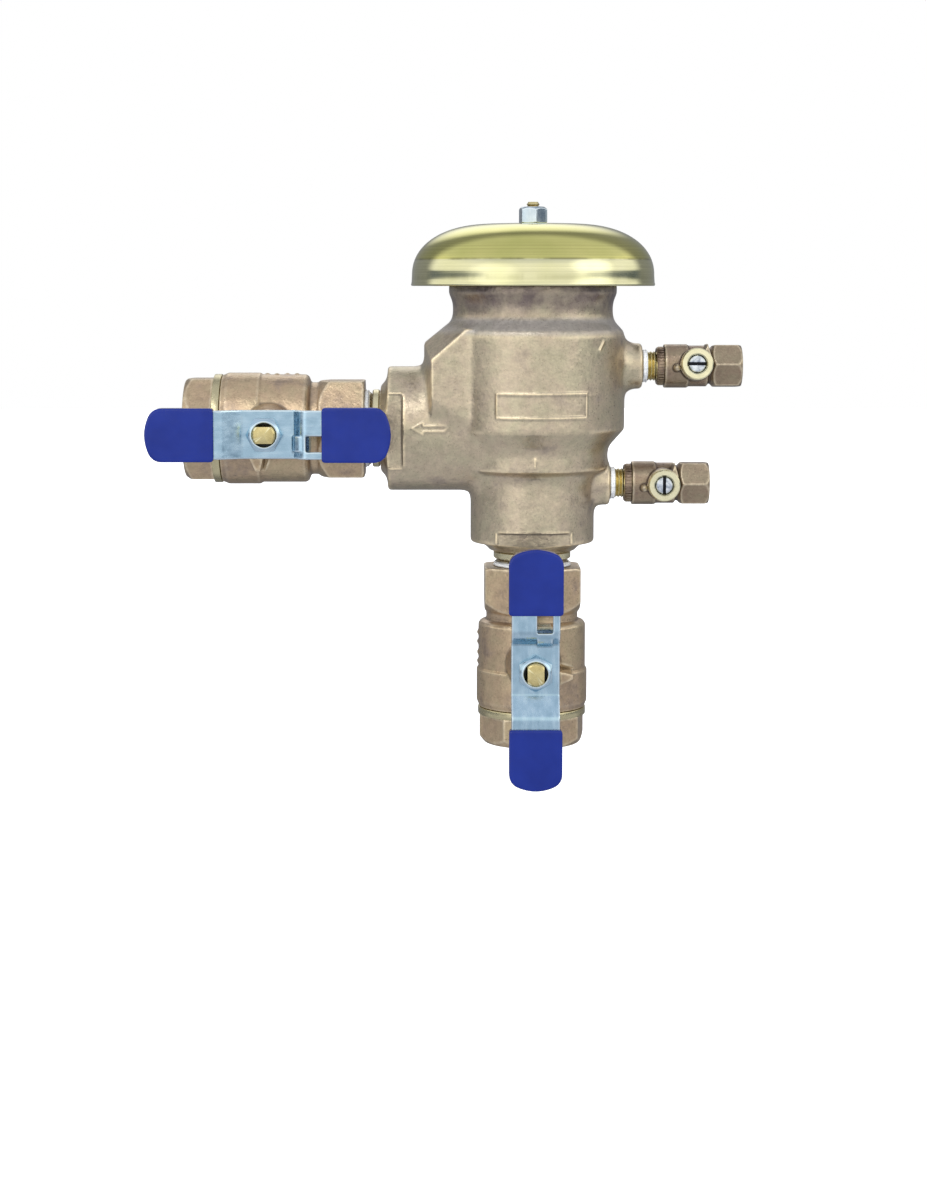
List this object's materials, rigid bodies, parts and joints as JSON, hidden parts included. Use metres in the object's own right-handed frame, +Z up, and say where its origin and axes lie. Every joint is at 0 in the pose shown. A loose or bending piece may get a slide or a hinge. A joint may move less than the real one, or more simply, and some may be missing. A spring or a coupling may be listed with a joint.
{
  "type": "backflow preventer",
  "caption": "Pressure vacuum breaker of cast bronze with a domed brass canopy, lever ball valves on inlet and outlet, and side test cocks.",
  "frame": {"origin": "centre of the inlet valve's end face, where the supply riser screws in", "axes": "+Z up along the inlet's axis, -X out of the outlet, -Y towards the handles and test-cock stems"},
  "size_m": [0.2508, 0.1046, 0.2454],
  "materials": {
    "cast_bronze": "sand-cast bronze with a fine matt grain",
    "spun_brass": "bright spun sheet with fine turning lines",
    "machined_brass": "machined",
    "zinc_plate": "bright blue-white zinc plating",
    "bright_steel": "polished",
    "vinyl_grip": "glossy dipped vinyl",
    "thread_tape": "wound sealing tape",
    "black_rubber": "matt",
    "white_plastic": "moulded"
  },
  "bodies": {
    "assembly": {"main_body": "cast_bronze", "bonnet": "cast_bronze", "bonnet_o_ring": "black_rubber", "canopy": "spun_brass", "canopy_stud": "machined_brass", "canopy_nut": "zinc_plate", "poppet_guide": "white_plastic", "check_spring": "bright_steel", "inlet_nipple": "cast_bronze", "outlet_nipple": "cast_bronze", "inlet_nipple_tape": "thread_tape", "outlet_nipple_tape": "thread_tape", "inlet_valve_body": "cast_bronze", "inlet_valve_retainer": "cast_bronze", "inlet_valve_seat_outer": "white_plastic", "inlet_valve_seat_inner": "white_plastic", "inlet_valve_stem_washer": "white_plastic", "inlet_valve_stem_packing": "white_plastic", "inlet_valve_packing_nut": "machined_brass", "outlet_valve_body": "cast_bronze", "outlet_valve_retainer": "cast_bronze", "outlet_valve_seat_outer": "white_plastic", "outlet_valve_seat_inner": "white_plastic", "outlet_valve_stem_washer": "white_plastic", "outlet_valve_stem_packing": "white_plastic", "outlet_valve_packing_nut": "machined_brass", "lower_test_cock_body": "cast_bronze", "lower_test_cock_tailpiece": "machined_brass", "lower_test_cock_seat_inner": "white_plastic", "lower_test_cock_seat_outer": "white_plastic", "lower_test_cock_gland_ring": "machined_brass", "lower_test_cock_tape": "thread_tape", "upper_test_cock_body": "cast_bronze", "upper_test_cock_tailpiece": "machined_brass", "upper_test_cock_seat_inner": "white_plastic", "upper_test_cock_seat_outer": "white_plastic", "upper_test_cock_gland_ring": "machined_brass", "upper_test_cock_tape": "thread_tape"},
    "inlet_handle": {"inlet_valve_handle": "zinc_plate", "inlet_valve_handle_nut": "machined_brass", "inlet_valve_stem": "machined_brass", "inlet_valve_ball": "bright_steel", "inlet_valve_grip_outer": "vinyl_grip", "inlet_valve_grip_inner": "vinyl_grip"},
    "outlet_handle": {"outlet_valve_handle": "zinc_plate", "outlet_valve_handle_nut": "machined_brass", "outlet_valve_stem": "machined_brass", "outlet_valve_ball": "bright_steel", "outlet_valve_grip_outer": "vinyl_grip", "outlet_valve_grip_inner": "vinyl_grip"},
    "lower_cock_stem": {"lower_test_cock_stem": "bright_steel", "lower_test_cock_ball": "bright_steel", "lower_test_cock_stem_o_ring": "black_rubber"},
    "upper_cock_stem": {"upper_test_cock_stem": "bright_steel", "upper_test_cock_ball": "bright_steel", "upper_test_cock_stem_o_ring": "black_rubber"},
    "float": {"float_poppet": "white_plastic", "float_seal": "black_rubber"},
    "check": {"check_poppet": "white_plastic", "check_seal": "black_rubber"}
  },
  "joints": [
    {"name": "inlet_handle_turn", "type": "hinge", "parent": "assembly", "child": "inlet_handle", "pos_m": [0, 0, 0.037], "axis": [0, 1, 0], "range_deg": [0, 90]},
    {"name": "outlet_handle_turn", "type": "hinge", "parent": "assembly", "child": "outlet_handle", "pos_m": [-0.1122, 0, 0.1365], "axis": [0, 1, 0], "range_deg": [0, 90]},
    {"name": "lower_cock_turn", "type": "hinge", "parent": "assembly", "child": "lower_cock_stem", "pos_m": [0.0558, 0, 0.1129], "axis": [0, 1, 0], "range_deg": [0, 90]},
    {"name": "upper_cock_turn", "type": "hinge", "parent": "assembly", "child": "upper_cock_stem", "pos_m": [0.0694, 0, 0.1633], "axis": [0, 0.9956, -0.0941], "range_deg": [0, 90]},
    {"name": "float_rise", "type": "slide", "parent": "assembly", "child": "float", "axis": [0, 0, 1], "range_m": [0, 0.0075]},
    {"name": "check_lift", "type": "slide", "parent": "assembly", "child": "check", "axis": [0, 0, 1], "range_m": [0, 0.007], "stiffness_N_per_m": 250, "springref_m": -0.0136, "deforming": ["check_spring"]}
  ]
}
